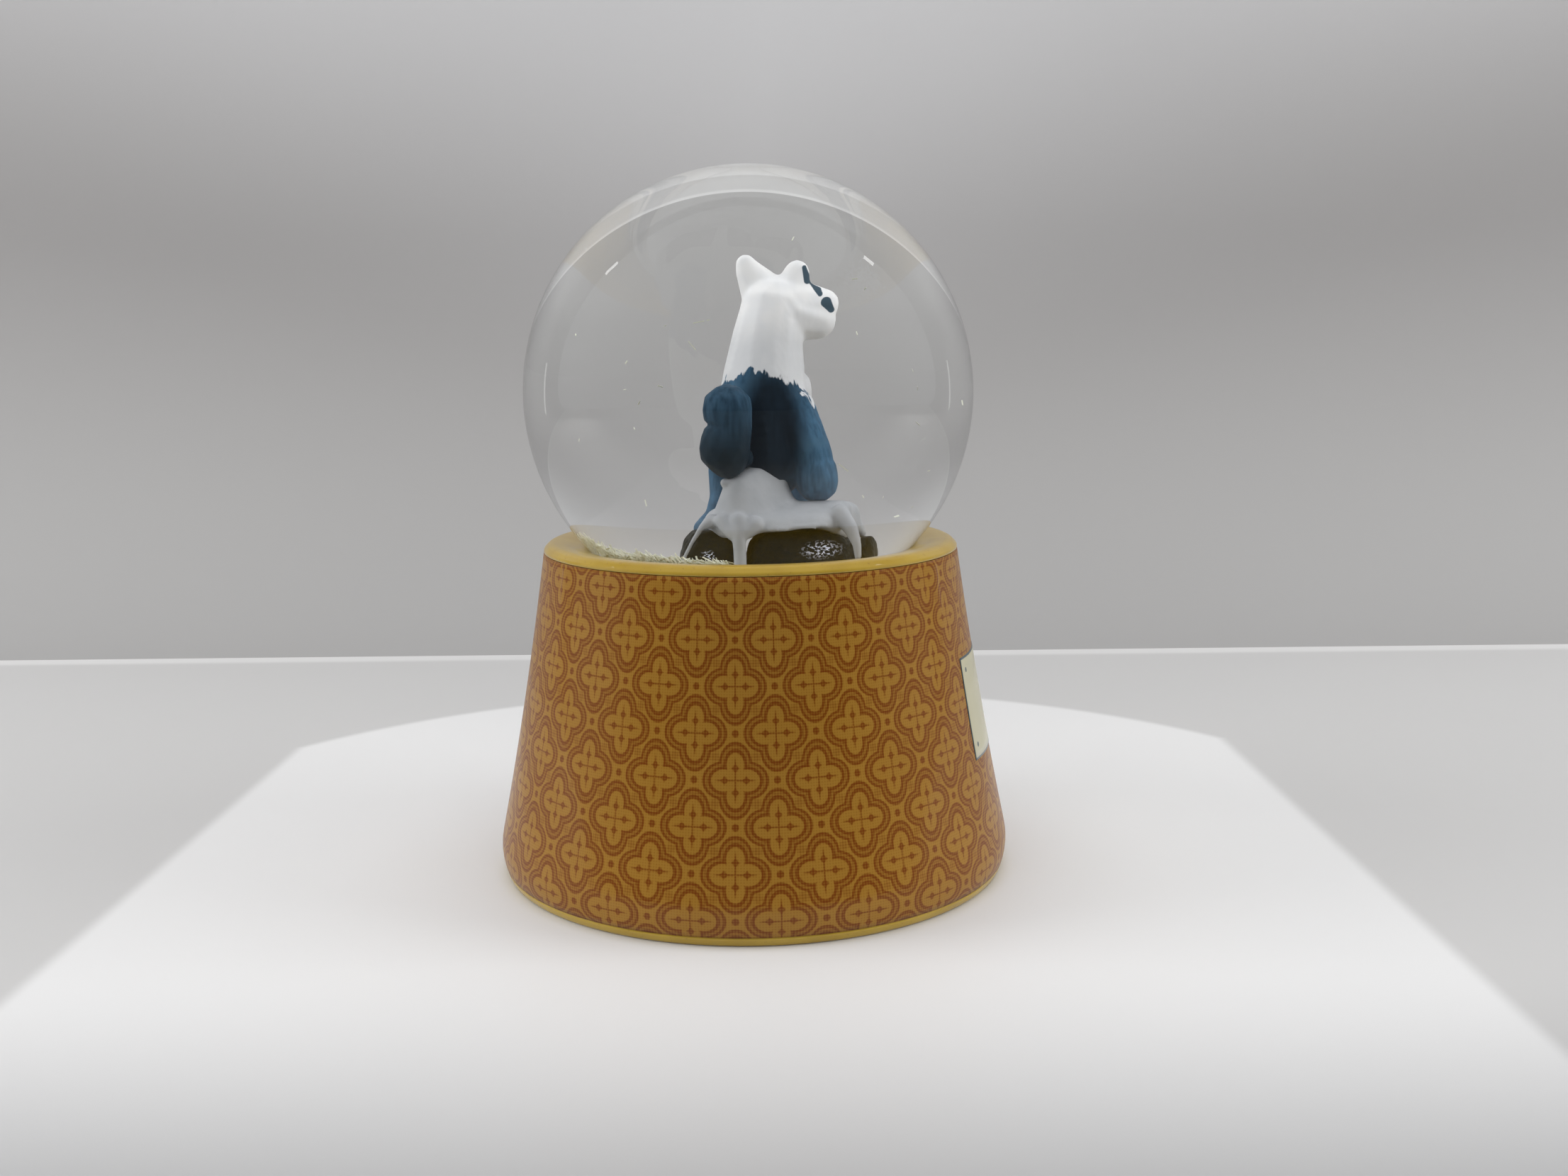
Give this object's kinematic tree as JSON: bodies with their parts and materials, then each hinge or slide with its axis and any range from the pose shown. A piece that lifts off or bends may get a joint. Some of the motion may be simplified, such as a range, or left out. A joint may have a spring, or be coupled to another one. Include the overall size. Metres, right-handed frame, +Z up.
{
  "type": "snow globe",
  "caption": "Liquid-filled glass snow globe with a seated animal on snowy rocks, set in a glossy flared round base wrapped in a patterned sleeve.",
  "frame": {"origin": "centre of the base's foot, on the surface that it stands on", "axes": "+Z up the axis of the base and the glass ball, -Y towards the front, where the animal's back is, +X towards the blank label plate"},
  "size_m": [0.0758, 0.0758, 0.1022],
  "materials": {
    "glazed_resin": "cast resin with a glossy yellow coat",
    "printed_film": "printed ochre and brown tracery under gloss lacquer",
    "label_print": "cream print under gloss lacquer",
    "clear_glass": "blown glass, polished",
    "liquid": "clear liquid",
    "cement": "set adhesive",
    "stopper_rubber": "moulded off-white rubber",
    "snow_paint": "thick white paint over cast resin, satin",
    "rock_paint": "dark painted resin with pale sparkling flecks",
    "blue_paint": "slate-blue painted resin with darker wash",
    "white_paint": "white painted resin",
    "flake": "translucent pale film flakes",
    "board": "grey-brown board",
    "felt": "short dark felt"
  },
  "bodies": {
    "globe_and_base": {"base_casting": "glazed_resin", "pattern_sleeve": "printed_film", "label_plate": "label_print", "closing_disc": "board", "felt_pad": "felt", "glass_globe": "clear_glass", "globe_cement": "cement", "stopper": "stopper_rubber", "liquid_fill": "liquid", "scenery_base": "snow_paint", "rock_left": "rock_paint", "rock_main": "rock_paint", "rock_right": "rock_paint", "snow_cover": "snow_paint", "wolf_body": "blue_paint", "wolf_head": "white_paint", "wolf_tail": "blue_paint", "settled_flakes": "flake"},
    "plug": {"filler_plug": "stopper_rubber"}
  },
  "joints": [
    {"name": "plug_slide", "type": "slide", "parent": "globe_and_base", "child": "plug", "axis": [0, 0, -1], "range_m": [0, 0.014]}
  ]
}
